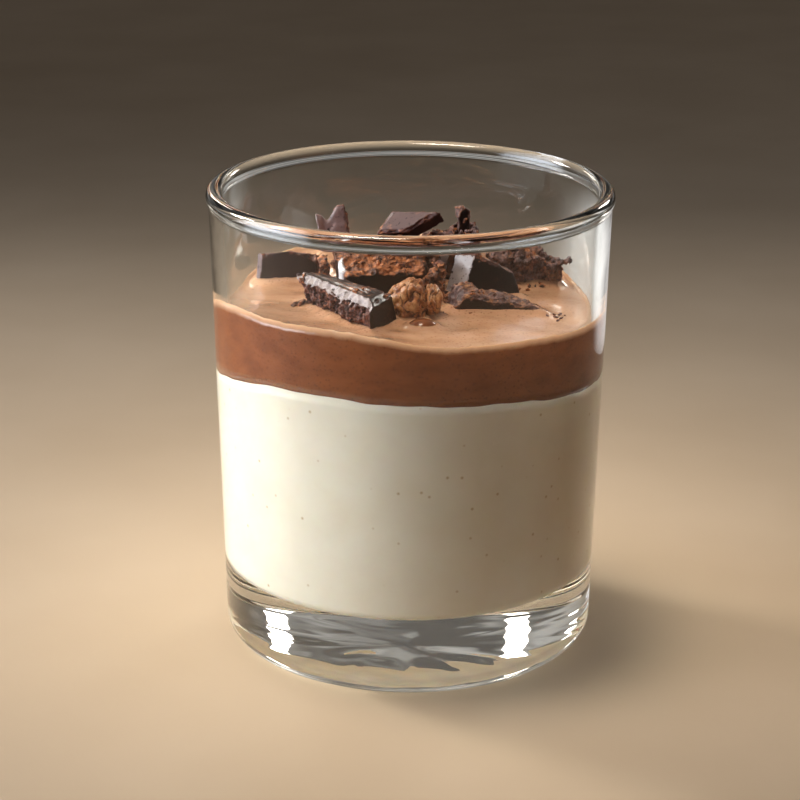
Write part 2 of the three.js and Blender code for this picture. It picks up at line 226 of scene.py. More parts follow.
def turned(name, profile, steps):
    """A closed piece turned round the Z axis. The profile is (radius, height) in millimetres."""
    deselect()
    bpy.ops.mesh.primitive_plane_add(size=MM)
    piece = bpy.context.object
    piece.name = name
    bpy.ops.object.mode_set(mode="EDIT")
    bpy.ops.mesh.select_all(action="SELECT")
    bpy.ops.mesh.merge(type="CENTER")
    here = (0.0, 0.0)
    for i, there in enumerate(profile):
        way = ((there[0] - here[0]) * MM, 0, (there[1] - here[1]) * MM)
        if i == 0:
            bpy.ops.transform.translate(value=way)
        else:
            bpy.ops.mesh.extrude_vertices_move(TRANSFORM_OT_translate={"value": way})
        here = there
    bpy.ops.mesh.select_all(action="SELECT")
    bpy.ops.mesh.spin(steps=steps, angle=2 * math.pi, center=(0, 0, 0), axis=(0, 0, 1))
    bpy.ops.mesh.select_all(action="SELECT")
    bpy.ops.mesh.remove_doubles(threshold=MERGE_DISTANCE)
    bpy.ops.mesh.normals_make_consistent(inside=False)
    bpy.ops.object.mode_set(mode="OBJECT")
    bpy.ops.object.shade_smooth()
    return piece


def wall_radius(height):
    """Radius of the inner wall at a height, in millimetres."""
    low = FLOOR_HEIGHT + FLOOR_CORNER_RADIUS
    return lerp(INNER_FLOOR_RADIUS, INNER_TOP_RADIUS, (height - low) / (WALL_TOP - low))


def edge_height(edge, azimuth):
    """Height of a layer's edge at the wall. Azimuth 0 is the front and grows towards +X."""
    mean, waves = edge
    return mean + sum(
        height * math.cos(count * azimuth - math.radians(crest))
        for count, (height, crest) in enumerate(waves, start=1)
    )


# ---------------------------------------------------------------- camera


def make_camera():
    elevation = math.radians(CAMERA_ELEVATION)
    back = Vector((0, -math.cos(elevation), math.sin(elevation)))
    lens = bpy.data.cameras.new("camera")
    lens.lens = LENS
    lens.sensor_width = SENSOR
    lens.shift_x, lens.shift_y = LENS_SHIFT
    lens.clip_start = 0.01
    camera = bpy.data.objects.new("camera", lens)
    bpy.context.collection.objects.link(camera)
    turn = (-back).to_track_quat("-Z", "Y").to_matrix().to_4x4()
    roll = Matrix.Rotation(math.radians(CAMERA_ROLL), 4, "Z")
    camera.matrix_world = Matrix.Translation(CAMERA_TARGET + back * CAMERA_DISTANCE) @ turn @ roll
    bpy.context.scene.camera = camera


# ---------------------------------------------------------------- materials


def soda_lime_glass():
    """Soda-lime glass, pressed and fire-polished: clear, smooth, and faintly wavy from the mould, so
    that lines seen through the base wander a little. Lamps shine through it onto what it holds."""
    made, tree = new_material("soda-lime glass")
    place = add(tree, "TexCoord").outputs["Object"]
    wave = add(tree, "TexNoise", Vector=place, Scale=90.0, Detail=1.0, Roughness=0.4)
    wavy = add(tree, "Bump", Height=wave.outputs[0], Strength=0.06, Distance=0.6 * MM)
    glass = add(
        tree,
        "BsdfPrincipled",
        Base_Color=linear("#fbfefd"),
        Roughness=0.0,
        IOR=1.52,
        Specular_IOR_Level=0.35,
        Transmission_Weight=1.0,
        Normal=wavy.outputs[0],
    )
    clear = add(tree, "BsdfTransparent", Color=linear("#f6faf9"))
    rays = add(tree, "LightPath")
    is_shadow = rays.outputs["Is Shadow Ray"]
    both = add(tree, "MixShader", in_0=is_shadow, in_1=glass.outputs[0], in_2=clear.outputs[0])
    add(tree, "OutputMaterial", Surface=both.outputs[0])
    return made


def set_cream():
    """Whipped cream set in the glass: warm ivory, soft and deep under light, smooth against the wall,
    with a faint cloudiness and a few pinholes left by air."""
    made, tree = new_material("set cream")
    place = add(tree, "TexCoord").outputs["Object"]
    cloud = add(tree, "TexNoise", Vector=place, Scale=110.0, Detail=4.0, Roughness=0.6)
    ivory = add(
        tree,
        "ValToRGB",
        {"ramp": [(0.3, "#f2e7d1"), (0.7, "#f7eedb")]},
        Fac=cloud.outputs[0],
    )
    # Pinholes about 0.3 mm wide, one in each cell of about 4 mm.
    cells = add(tree, "TexVoronoi", {"feature": "F1"}, Vector=place, Scale=270.0, Randomness=1.0)
    hole = add(
        tree,
        "ValToRGB",
        {"ramp": [(0.03, "#ffffff"), (0.11, "#000000")]},
        Fac=cells.outputs["Distance"],
    )
    skin = add(
        tree,
        "Mix",
        TINT,
        in_0=hole.outputs[0],
        in_6=ivory.outputs[0],
        in_7=linear("#dac9ac"),
    )
    bump = add(tree, "Bump", Height=cloud.outputs[0], Strength=0.15, Distance=0.2 * MM)
    cream = add(
        tree,
        "BsdfPrincipled",
        Base_Color=skin.outputs[2],
        Roughness=0.42,
        IOR=1.45,
        Subsurface_Weight=0.35,
        Subsurface_Radius=(4.0, 2.9, 1.6),
        Subsurface_Scale=1.0 * MM,
        Normal=bump.outputs[0],
    )
    add(tree, "OutputMaterial", Surface=cream.outputs[0])
    return made


def chocolate_mousse():
    """Chocolate mousse, whipped and poured: milky brown, glossy and wet on top, with fine air pores
    and streaks where the folds were drawn. The thin smear along the wall is painted a lighter tan, a
    painted glow of light through it."""
    made, tree = new_material("chocolate mousse")
    place = add(tree, "TexCoord").outputs["Object"]
    pulled = add(tree, "Mapping", Vector=place, Scale=(1.0, 1.6, 2.6))
    streak = add(tree, "TexNoise", Vector=pulled.outputs[0], Scale=130.0, Detail=5.0, Roughness=0.55)
    brown = add(
        tree,
        "ValToRGB",
        {"ramp": [(0.3, "#b58260"), (0.5, "#c69573"), (0.72, "#d3a583")]},
        Fac=streak.outputs[0],
    )
    # Air pores 0.3 to 0.6 mm wide.
    pores = add(tree, "TexVoronoi", {"feature": "F1"}, Vector=place, Scale=1300.0, Randomness=1.0)
    pore = add(
        tree, "ValToRGB", {"ramp": [(0.12, "#8d5f40"), (0.3, "#ffffff")]}, Fac=pores.outputs["Distance"]
    )
    pored = add(
        tree,
        "Mix",
        TINT,
        in_0=0.5,
        in_6=brown.outputs[0],
        in_7=pore.outputs[0],
    )
    # Against the glass the mousse is wet, so it looks deeper; the thin smear above its edge is painted a
    # lighter tan, a painted glow of light through it.
    wet = add(tree, "Attribute", {"attribute_name": "wet"})
    deep = add(
        tree,
        "Mix",
        TINT,
        in_0=wet.outputs["Fac"],
        in_6=pored.outputs[2],
        in_7=linear("#b28154"),
    )
    smear = add(tree, "Attribute", {"attribute_name": "smear"})
    skin = add(
        tree,
        "Mix",
        COLOURS,
        in_0=smear.outputs["Fac"],
        in_6=deep.outputs[2],
        in_7=linear("#cfa47f"),
    )
    bump = add(tree, "Bump", Height=pores.outputs["Distance"], Strength=0.12, Distance=0.15 * MM)
    mousse = add(
        tree,
        "BsdfPrincipled",
        Base_Color=skin.outputs[2],
        Roughness=0.24,
        IOR=1.45,
        Subsurface_Weight=0.1,
        Subsurface_Radius=(2.2, 1.1, 0.6),
        Subsurface_Scale=1.0 * MM,
        Coat_Weight=0.8,
        Coat_Roughness=0.08,
        Normal=bump.outputs[0],
    )
    add(tree, "OutputMaterial", Surface=mousse.outputs[0])
    return made


def dark_chocolate(name, moulded, snapped, cocoa, cocoa_share):
    """Tempered dark chocolate, moulded in bars and snapped. Moulded faces are near black with a satin
    gloss; snapped faces are rough, browner and matt; convex edges are painted a lighter reddish brown in
    patches, partly wear and partly a painted edge highlight; crumbs and cocoa lie on whatever faces up;
    a few faces are painted a pale lilac grey up to near white, a painted sheen and highlight with some
    bloom. The attributes snapped, edge, upward and pale say where. moulded, snapped and cocoa are the
    browns of each, from dark to light, and cocoa_share says how much of what faces up the cocoa covers."""
    made, tree = new_material(name)
    place = add(tree, "TexCoord").outputs["Object"]
    is_snapped, is_edge, is_upward, is_sheen_and_bloom = (
        add(tree, "Attribute", {"attribute_name": key}).outputs["Fac"]
        for key in ("snapped", "edge", "upward", "pale")
    )
    # Grain about 1 mm and finer, and patches about 3 mm.
    grain = add(tree, "TexNoise", Vector=place, Scale=1000.0, Detail=5.0, Roughness=0.7).outputs[0]
    patch = add(tree, "TexNoise", Vector=place, Scale=330.0, Detail=3.0, Roughness=0.6).outputs[0]
    smooth_face = add(tree, "ValToRGB", {"ramp": [(0.35, moulded[0]), (0.75, moulded[1])]}, Fac=patch)
    rough_face = add(
        tree,
        "ValToRGB",
        {"ramp": [(0.34, snapped[0]), (0.52, snapped[1]), (0.68, snapped[2])]},
        Fac=grain,
    )
    face = add(
        tree, "Mix", COLOURS, in_0=is_snapped, in_6=smooth_face.outputs[0], in_7=rough_face.outputs[0]
    )
    # Convex edges are painted a lighter reddish brown in some patches and not in others: partly wear,
    # partly a painted edge highlight.
    edge_patches = add(tree, "MapRange", in_0=patch, in_1=0.3, in_2=0.65)
    wear_and_edge_highlight = add(tree, "Math", PRODUCT, in_0=is_edge, in_1=edge_patches.outputs[0])
    with_wear_and_edge_highlight = add(
        tree, "Mix", COLOURS, in_0=wear_and_edge_highlight.outputs[0], in_6=face.outputs[2], in_7=linear("#a3674f")
    )
    # Crumbs and cocoa gather in patches on what faces up.
    crumbs = add(tree, "ValToRGB", {"ramp": [(0.4, cocoa[0]), (0.62, cocoa[1])]}, Fac=grain)
    low = 0.36 - 0.2 * cocoa_share
    gather = add(tree, "Math", PRODUCT, in_0=grain, in_1=patch)
    lies = add(tree, "MapRange", in_0=gather.outputs[0], in_1=low, in_2=low + 0.05)
    dust = add(tree, "Math", PRODUCT, in_0=lies.outputs[0], in_1=is_upward)
    dusted = add(
        tree, "Mix", COLOURS, in_0=dust.outputs[0], in_6=with_wear_and_edge_highlight.outputs[2], in_7=crumbs.outputs[0]
    )
    # The pale faces are painted lilac grey up to near white: a painted sheen and highlight, with some
    # bloom. The grain leaves gaps in it here and there.
    painted_sheen_and_bloom = add(
        tree,
        "ValToRGB",
        {"ramp": [(0.25, "#5a4244"), (0.45, "#8d7878"), (0.8, "#b9b0b0"), (1.0, "#e6e4e8")]},
        Fac=is_sheen_and_bloom,
    )
    covered = add(tree, "MapRange", in_0=is_sheen_and_bloom, in_2=0.5)
    kept = add(tree, "MapRange", in_0=grain, in_1=0.34, in_2=0.42)
    veil = add(tree, "Math", PRODUCT, in_0=covered.outputs[0], in_1=kept.outputs[0])
    skin = add(
        tree, "Mix", COLOURS, in_0=veil.outputs[0], in_6=dusted.outputs[2], in_7=painted_sheen_and_bloom.outputs[0]
    )
    matt = add(tree, "MapRange", in_0=is_snapped, in_3=0.28, in_4=0.6)
    grained = add(tree, "MapRange", in_0=is_snapped, in_3=0.05, in_4=0.4)
    bump = add(tree, "Bump", Height=grain, Strength=grained.outputs[0], Distance=0.15 * MM)
    chocolate = add(
        tree,
        "BsdfPrincipled",
        Base_Color=skin.outputs[2],
        Roughness=matt.outputs[0],
        IOR=1.5,
        Specular_IOR_Level=0.4,
        Normal=bump.outputs[0],
    )
    add(tree, "OutputMaterial", Surface=chocolate.outputs[0])
    return made


def roasted_nut():
    """A roasted nut cluster in caramel: light golden and toasted darker on top, with painted shade
    making its creases dark brown, and a low sheen where the caramel has set."""
    made, tree = new_material("roasted nut in caramel")
    place = add(tree, "TexCoord").outputs["Object"]
    crease = add(tree, "Attribute", {"attribute_name": "crease"})
    upward = add(tree, "Attribute", {"attribute_name": "upward"})
    mottle = add(tree, "TexNoise", Vector=place, Scale=620.0, Detail=4.0, Roughness=0.65)
    gold = add(
        tree,
        "ValToRGB",
        {"ramp": [(0.36, "#753812"), (0.48, "#b06c34"), (0.66, "#e0ac76")]},
        Fac=mottle.outputs[0],
    )
    toast = add(tree, "MapRange", in_0=upward.outputs["Fac"], in_4=0.5)
    crown = add(
        tree, "Mix", COLOURS, in_0=toast.outputs[0], in_6=gold.outputs[0], in_7=linear("#94501f")
    )
    # Painted shade: the creases are painted dark brown, where shade falls.
    skin = add(
        tree, "Mix", COLOURS, in_0=crease.outputs["Fac"], in_6=crown.outputs[2], in_7=linear("#4a220d")
    )
    bump = add(tree, "Bump", Height=mottle.outputs[0], Strength=0.3, Distance=0.15 * MM)
    nut = add(
        tree,
        "BsdfPrincipled",
        Base_Color=skin.outputs[2],
        Roughness=0.4,
        IOR=1.47,
        Coat_Weight=0.25,
        Coat_Roughness=0.3,
        Normal=bump.outputs[0],
    )
    add(tree, "OutputMaterial", Surface=nut.outputs[0])
    return made


def milk_chocolate_drop():
    """A melted drop of milk chocolate: smooth, brown and glossy."""
    made, tree = new_material("milk chocolate")
    place = add(tree, "TexCoord").outputs["Object"]
    cloud = add(tree, "TexNoise", Vector=place, Scale=260.0, Detail=2.0)
    brown = add(tree, "ValToRGB", {"ramp": [(0.35, "#6b3b20"), (0.7, "#81492a")]}, Fac=cloud.outputs[0])
    drop = add(tree, "BsdfPrincipled", Base_Color=brown.outputs[0], Roughness=0.16, IOR=1.47)
    add(tree, "OutputMaterial", Surface=drop.outputs[0])
    return made


def painted_floor():
    """A smooth pale painted floor, with a barely visible mottle."""
    made, tree = new_material("pale painted floor")
    place = add(tree, "TexCoord").outputs["Object"]
    mottle = add(tree, "TexNoise", Vector=place, Scale=14.0, Detail=3.0)
    pale = add(tree, "ValToRGB", {"ramp": [(0.3, "#c0ac92"), (0.7, "#cab79e")]}, Fac=mottle.outputs[0])
    floor = add(tree, "BsdfPrincipled", Base_Color=pale.outputs[0], Roughness=0.8)
    add(tree, "OutputMaterial", Surface=floor.outputs[0])
    return made


# ---------------------------------------------------------------- tumbler and layers


def make_tumbler(surface):
    bead_centre = (RIM_RADIUS - BEAD_RADIUS, HEIGHT - BEAD_RADIUS)
    heel_centre = (OUTER_BASE_RADIUS - HEEL_RADIUS, HEEL_RADIUS)
    corner = (INNER_FLOOR_RADIUS - FLOOR_CORNER_RADIUS, FLOOR_HEIGHT + FLOOR_CORNER_RADIUS)
    dish, floor = (0, DISH_DEPTH), (0, FLOOR_HEIGHT)
    shoulder = (RING_RADIUS - SHOULDER_WIDTH, DISH_DEPTH * SHOULDER_SHARE)
    foot = (RING_RADIUS, 0.0)
    heel = arc(heel_centre, HEEL_RADIUS, -90, 0, 10)
    bead = arc(bead_centre, BEAD_RADIUS, -40, 195, 26)
    floor_corner = arc(corner, FLOOR_CORNER_RADIUS, 0, -90, 8)
    outer_join, inner_join = (OUTER_TOP_RADIUS, WALL_TOP), (INNER_TOP_RADIUS, WALL_TOP)
    outer_end = between(outer_join, heel[-1], END_RING)
    inner_end = between(inner_join, floor_corner[0], END_RING)
    profile = [dish] + line(dish, shoulder, 6) + [shoulder] + line(shoulder, foot, 4) + [foot]
    profile += line(foot, heel[0], 4) + heel
    profile += line(heel[-1], outer_end, 24) + [outer_end, outer_join] + bead + [inner_join, inner_end]
    profile += line(inner_end, floor_corner[0], 22) + floor_corner
    profile += line(floor_corner[-1], floor, 14) + [floor]
    tumbler = turned("tumbler", profile, GLASS_STEPS)
    wave_glass(tumbler)
    return finish_piece(tumbler, surface, "glass", "glass")


def wave_glass(tumbler):
    """Pressed glass is never quite true: its inner floor and underside are slightly uneven, and its
    wall wanders by a few hundredths of a millimetre. Lines seen through it break up."""
    for vertex in tumbler.data.vertices:
        x, y, z = vertex.co / MM
        radius = math.hypot(x, y)
        if z < HEEL_RADIUS and radius < RING_RADIUS:
            inside = smoothstep(RING_RADIUS, RING_RADIUS - UNDERSIDE_FADE, radius)
            vertex.co.z += MM * UNDERSIDE_WAVE * inside * abs(wander((x, y, 0), WAVE_SIZE))
        elif abs(z - FLOOR_HEIGHT) < 0.01 and radius < INNER_FLOOR_RADIUS - FLOOR_CORNER_RADIUS:
            vertex.co.z += MM * FLOOR_WAVE * wander((x, y, 40), WAVE_SIZE)
        elif z < WALL_TOP:
            share = 1 + WALL_WAVE * wander((x, y, z * 0.6), WALL_WAVE_SIZE) / radius
            vertex.co.x *= share
            vertex.co.y *= share


def layer_top(x, y):
    """Height of the cream's upper face, in millimetres."""
    outwards = min(1.0, math.hypot(x, y) / INNER_TOP_RADIUS)
    uneven = CREAM_WAVE * noise.noise(Vector((x / CREAM_WAVE_SIZE, y / CREAM_WAVE_SIZE, 11)))
    return lerp(CREAM_EDGE[0], edge_height(CREAM_EDGE, math.atan2(x, -y)) + uneven, outwards**2)


def mousse_top(x, y):
    """Height of the mousse's surface without its lip, in millimetres."""
    outwards = min(1.0, math.hypot(x, y) / (INNER_TOP_RADIUS - LIP_WIDTH))
    rim = edge_height(MOUSSE_EDGE, math.atan2(x, -y)) - LIP_DROP
    # The folds are about 9 mm by 5.5 mm and bend over 14 mm; the fine ones are 3.2 mm by 2.2 mm.
    bend = 0.8 * noise.noise_vector(Vector((x, y, 7)) / 14)
    drawn = noise.noise(Vector((x / 9, y / 5.5, 0.4)) + bend)
    fine = noise.noise(Vector((x / 3.2, y / 2.2, 3.1)))
    folds = FOLD_HEIGHT * (drawn + FINE_FOLDS * fine) * (1 - outwards**6)
    return lerp(MOUSSE_CENTRE_HEIGHT, rim, outwards**4) + folds


def layered(name, rings):
    """A turned layer from (radius, rule) rings, up the outside. It is turned with each ring's number
    as its height, and rule(x, y) then gives the ring its heights, in millimetres."""
    piece = turned(name, [(radius, i) for i, (radius, _) in enumerate(rings)], CONTENT_STEPS)
    for vertex in piece.data.vertices:
        rule = rings[round(vertex.co.z / MM)][1]
        vertex.co.z = rule(vertex.co.x / MM, vertex.co.y / MM) * MM
    piece.data.update()
    return piece


def make_cream(surface):
    floor = FLOOR_HEIGHT - 2 * BITE
    low = FLOOR_HEIGHT + FLOOR_CORNER_RADIUS
    corner = arc((INNER_FLOOR_RADIUS - FLOOR_CORNER_RADIUS, low), FLOOR_CORNER_RADIUS + BITE, -90, 0, 8)
    floor_rings, wall_rings, top_rings = 6, 22, 12
    rings = [(corner[0][0] * i / floor_rings, lambda x, y: floor) for i in range(floor_rings)]
    rings += [(radius, lambda x, y, height=height: height) for radius, height in corner]
    for i in range(1, wall_rings + 1):
        share = i / wall_rings
        radius = wall_radius(lerp(low, CREAM_EDGE[0], share)) + BITE
        rings.append((radius, lambda x, y, share=share: lerp(low, layer_top(x, y), share)))
    wall = rings[-1][0]
    rings += [(wall * i / top_rings, layer_top) for i in range(top_rings - 1, -1, -1)]
    cream = layered("cream_layer", rings)
    return finish_piece(cream, surface, "cream", "cream")


def mousse_rule(near):
    """Height of the mousse's finished surface: its level, its lip at the wall, and the rise against
    each piece that lies in it. near(x, y, z) is the distance to the nearest piece."""

    def height(x, y):
        level = mousse_top(x, y)
        azimuth = math.atan2(x, -y)
        crest = edge_height(MOUSSE_EDGE, azimuth) + LIP_HEIGHT
        crest += LIP_WAVE * noise.noise(Vector((math.sin(azimuth) * 30, math.cos(azimuth) * 30, 1.7)))
        inwards = max(0.0, wall_radius(MOUSSE_EDGE[0]) - math.hypot(x, y))
        lip = (crest - level) * math.exp(-((inwards / LIP_REACH) ** 1.3))
        rise = MENISCUS_HEIGHT * math.exp(-((near(x, y, level) / MENISCUS_REACH) ** 1.5))
        return level + max(lip, rise)

    return height


def make_mousse(surface, near):
    top = mousse_rule(near)
    low = wall_radius(CREAM_EDGE[0]) + BITE
    high = wall_radius(MOUSSE_EDGE[0]) + BITE
    base_rings, wall_rings = 10, 8
    rings = [(low * i / base_rings, layer_top) for i in range(base_rings + 1)]
    for i in range(1, wall_rings + 1):
        share = i / wall_rings
        rings.append(
            (lerp(low, high, share), lambda x, y, share=share: lerp(layer_top(x, y), top(x, y), share))
        )
    radius = high
    while radius > EVEN_RING:
        radius -= FINE_RING if radius > high - LIP_ZONE else EVEN_RING
        rings.append((max(radius, 0.0), top))
    rings.append((0.0, top))
    mousse = layered("mousse_layer", rings)
    # The smear lies above the edge and close to the wall; what touches the wall is wet, the smear less.
    smear, wet = [], []
    for vertex in mousse.data.vertices:
        x, y, z = vertex.co / MM
        above = z - edge_height(MOUSSE_EDGE, math.atan2(x, -y))
        inwards = wall_radius(z) - math.hypot(x, y)
        smear.append(smoothstep(-0.25, 0.05, above) * smoothstep(0.75, 0.3, inwards))
        wet.append(smoothstep(0.3, 0.0, inwards) * lerp(1.0, 0.4, smoothstep(-0.5, -0.1, above)))
    write_attribute(mousse, "smear", smear)
    write_attribute(mousse, "wet", wet)
    return finish_piece(mousse, surface, "mousse", "mousse")


# ---------------------------------------------------------------- topping

LEVEL = 0.985  # how nearly a facet points a moulded face's way to be part of it
CHIP_WIDTH = 0.55  # how far chips bite into a moulded face from its snapped edges, and their size
CHIP_SIZE = 1.3
SAME_WAY = 0.9  # how nearly a face points a given way to be that face
RAGGED = 0.45  # how far the edge of a pale face wanders, and over what size
RAGGED_SIZE = 0.7
FAR_AWAY = 1000.0

# The front bar: its top front edge from the left end to the right one, and the way back from it.
BAR_LEFT = Vector((-22.6, -4.2, 76.4))
BAR_RIGHT = Vector((-7.2, -26.2, 76.8))
BAR_BACK = Vector((0.819, 0.573, 0.0))
BAR_LENGTH = 26.9
BAR_BEVEL_DROP = 1.15  # how far down its front the bevel reaches
# The bevels are painted pale: a painted sheen, with some bloom.
BAR_BEVEL_SHEEN_AND_BLOOM = 0.62  # how pale a bevel is, from 0 to 1
BLOCK_BEVEL_SHEEN_AND_BLOOM = 0.42
SPLINTER_DEPTH = 2.0
RIB_SPACING = 1.25
RIB_HEIGHT = 0.26

# The reliefs of a snapped face: the texture, its strength as a share of the crag depth, and the level
# of the texture that leaves the face where it is.
SNAPPED_RELIEFS = (("crags", 1.0, 0.62), ("splinters", 0.55, 0.5), ("grain", 0.28, 0.5))
PALE_FLATNESS = 0.85  # how much of its relief a pale face, painted sheen and bloom, loses

NUT_CELL = 0.2  # facet size
DROP_CELL = 0.2
CRUMB_SHAPE = Vector((1.3, 0.9, 0.55))  # length, width and thickness, as shares of its size
CRUMB_LIFT = 0.12  # its middle stands this share of its size above what it lies on
CRUMB_DROP = 95.0  # crumbs fall from this height, above the rim
CRUMB_CORNERS = 12
CRUMB_JITTER = (0.6, 1.15)  # a corner's distance from the middle, as a share of an even crumb's
CRUMB_TILT = 0.6  # in radians, as the next
ANY_WAY = 6.28


def copy_of(node_name, name):
    """A merged copy of a CAD node's mesh, as a piece of its own."""
    piece = bpy.data.objects.new(name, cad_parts[node_name].data.copy())
    bpy.context.collection.objects.link(piece)
    pick(piece)
    bpy.ops.object.mode_set(mode="EDIT")
    bpy.ops.mesh.select_all(action="SELECT")
    bpy.ops.mesh.remove_doubles(threshold=MERGE_DISTANCE)
    bpy.ops.object.mode_set(mode="OBJECT")
    return piece


# The ways that the moulded faces of each piece point. All its other faces were snapped.
MOULDED = {
    "bar_front": [(0.89, -0.43, 0.16), (0.7, 0.71, 0), (0.04, 0.06, 1)],
    "block_left": [(-0.95, 0.3, 0.05), (-0.11, -0.99, 0), (0.03, 1, 0.05)],
    "block_middle": [(-0.97, -0.25, -0.05), (0.13, -0.99, 0)],
    "sliver_right": [(-0.98, 0.06, 0.18), (0.43, -0.9, -0.12), (-0.07, -0.16, 0.98)],
    "wedge_right": [(-0.71, -0.65, 0.28), (0.27, -0.95, 0.14), (0.34, 0.34, 0.88)],
    "slab_right": [(0.12, -0.99, 0.09)],
    "chunk_centre": [(0.13, 0.98, 0.11)],
    "chunk_behind": [(0.37, -0.93, 0.05), (-0.13, 0.11, 0.99)],
    "shard_top": [(0.08, -0.99, 0.11), (-0.06, 0.17, 0.98)],
    "plate_back": [(-0.14, -0.85, -0.51), (0.37, -0.87, -0.33), (-0.8, 0.6, 0), (-0.31, -0.49, 0.82)],
    "splinter_back": [(0.18, -0.98, 0.11)],
}


def tree_of(pieces):
    """One search tree over several pieces."""
    places, faces = [], []
    for piece in pieces:
        start = len(places)
        places += [vertex.co.copy() for vertex in piece.data.vertices]
        faces += [[start + i for i in face.vertices] for face in piece.data.polygons]
    return BVHTree.FromPolygons(places, faces)


def face_trees(piece, ways):
    """Search trees of a piece's moulded faces and of its snapped ones."""
    kinds = {True: [], False: []}
    for face in piece.data.polygons:
        moulded = any(face.normal.dot(Vector(way).normalized()) > LEVEL for way in ways)
        kinds[moulded].append([piece.data.vertices[i].co.copy() for i in face.vertices])
    trees = []
    for moulded in (True, False):
        places = [place for face in kinds[moulded] for place in face]
        corners = [(i * 3, i * 3 + 1, i * 3 + 2) for i in range(len(kinds[moulded]))]
        trees.append(BVHTree.FromPolygons(places, corners) if corners else None)
    return trees


def distance_to(tree, place):
    """Distance in millimetres from a place to the nearest face of a tree."""
    return FAR_AWAY if tree is None else tree.find_nearest(place)[3] / MM


def relief(name, kind, size, **settings):
    """A texture for displacing a surface, with features of a size in millimetres."""
    made = bpy.data.textures.new(name, kind)
    made.noise_scale = size * MM
    for key, value in settings.items():
        setattr(made, key, value)
    return made


def roughen(piece, texture, strength, middle, group=""):
    """Moves a piece's skin in and out by a relief. strength is in millimetres."""
    apply_modifier(
        piece,
        "DISPLACE",
        texture=RELIEF[texture],
        texture_coords="LOCAL",
        vertex_group=group,
        strength=strength * MM,
        mid_level=middle,
    )


def stand_out(piece, cell):
    """How much each vertex stands out from its neighbours, and how much it faces up. A vertex in a
    crease stands out by less than nothing."""
    mesh = bmesh.new()
    mesh.from_mesh(piece.data)
    mesh.normal_update()
    out, up = [], []
    for vertex in mesh.verts:
        around = [e.other_vert(vertex).co for e in vertex.link_edges]
        middle = sum(around, Vector()) / max(1, len(around))
        out.append((vertex.co - middle).dot(vertex.normal) / (cell * MM))
        up.append(vertex.normal.z)
    mesh.free()
    return out, up


def cut_back(piece, place, way, ragged=0.0, size=1.0):
    """Draws what lies beyond a plane back onto it. The plane goes through a place, in millimetres, and
    faces a way; its depth wanders by ragged over a size. Returns what was cut, by vertex."""
    way = Vector(way).normalized()
    cut = set()
    for vertex in piece.data.vertices:
        here = vertex.co / MM
        beyond = (here - Vector(place)).dot(way) + ragged * wander(here, size)
        if beyond > 0:
            vertex.co -= way * beyond * MM
            cut.add(vertex.index)
    return cut


def shape_bar(piece):
    """The front bar: ribs along its top, upright splinters with gaps between them down its snapped
    front, a ragged bevel between the two, and a bevel at its right end. u runs from its left end, v
    back from its front edge, and depth down from its top."""
    along = (BAR_RIGHT - BAR_LEFT).normalized()
    for vertex in piece.data.vertices:
        here = vertex.co / MM
        u, v = (here - BAR_LEFT).dot(along), (here - BAR_LEFT).dot(BAR_BACK)
        depth = lerp(BAR_LEFT.z, BAR_RIGHT.z, u / BAR_LENGTH) - here.z
        inside = smoothstep(BAR_LENGTH - 0.4, BAR_LENGTH - 1.3, u)
        front = smoothstep(1.3, 0.5, v) * inside * smoothstep(0.9, 2.2, depth)
        gap = abs(wander((u, 0, here.z * 0.3), 1.5)) + 0.6 * abs(wander((u, 5, here.z * 0.5), 0.7))
        vertex.co += BAR_BACK * SPLINTER_DEPTH * front * (0.62 - gap) * MM
        ribbed = smoothstep(0.5, 0.2, depth) * smoothstep(1.6, 2.4, v) * smoothstep(21.5, 20.0, u)
        rib = math.sin(2 * math.pi * v / RIB_SPACING + 1.5 * wander((u, v, 0), 4))
        vertex.co.z += RIB_HEIGHT * ribbed * (rib + 0.5 * wander((u * 0.4, v * 2, 3), 1.0)) * MM
    cut_back(piece, (-5.4, -21.7, 75.7), (0.55, -0.22, 0.8), 0.1, 2.0)
    low_edge = BAR_LEFT + BAR_BACK * 0.1 + Vector((0, 0, -BAR_BEVEL_DROP))
    bevel = cut_back(piece, low_edge, (-0.58, -0.405, 0.707), 0.5, 1.2)
    # The ragged bevel is painted pale: a painted sheen, with some bloom.
    return {i: BAR_BEVEL_SHEEN_AND_BLOOM for i in bevel}


def shape_left_block(piece):
    """The left block: its top falls away to the back, its right part has crumbled down, and the
    upright corner at its left end is bevelled."""
    cut_back(piece, (-25, 9.2, 76.4), (0.0, 0.42, 0.91), 0.5, 2.5)
    cut_back(piece, (-21.5, 9.6, 75.6), (0.62, -0.35, 0.7), 1.1, 1.6)
    bevel = cut_back(piece, (-31.1, 10.9, 74), (-0.75, -0.65, 0.1), 0.1, 2.0)
    # The bevelled corner is painted pale: a painted sheen, with some bloom.
    return {i: BLOCK_BEVEL_SHEEN_AND_BLOOM for i in bevel}


def shape_middle_block(piece):
    """The middle block: its left end is a rounded, glossy flank, with a near-white highlight painted
    down it.
    """
    skin_depth, foot = 0.7, 72
    middle, half_width, bulge = 4.4, 2.6, 0.5
    pale = {}
    for vertex in piece.data.vertices:
        x, y, z = vertex.co / MM
        backwards = (y + 5.4) * 0.97 - (x + 12.7) * 0.25  # along that end, from its front corner
        outwards = (x + 12.4) * -0.97 + (y + 5.3) * -0.25
        if outwards > -skin_depth and z > foot:
            share = 1 - abs(backwards - middle) / half_width
            if share > 0:
                vertex.co.x -= bulge * MM * share
                # A painted highlight: the flank's middle is made pale, up to near white.
                pale[vertex.index] = min(1.0, 0.4 + 1.4 * share)
    return pale


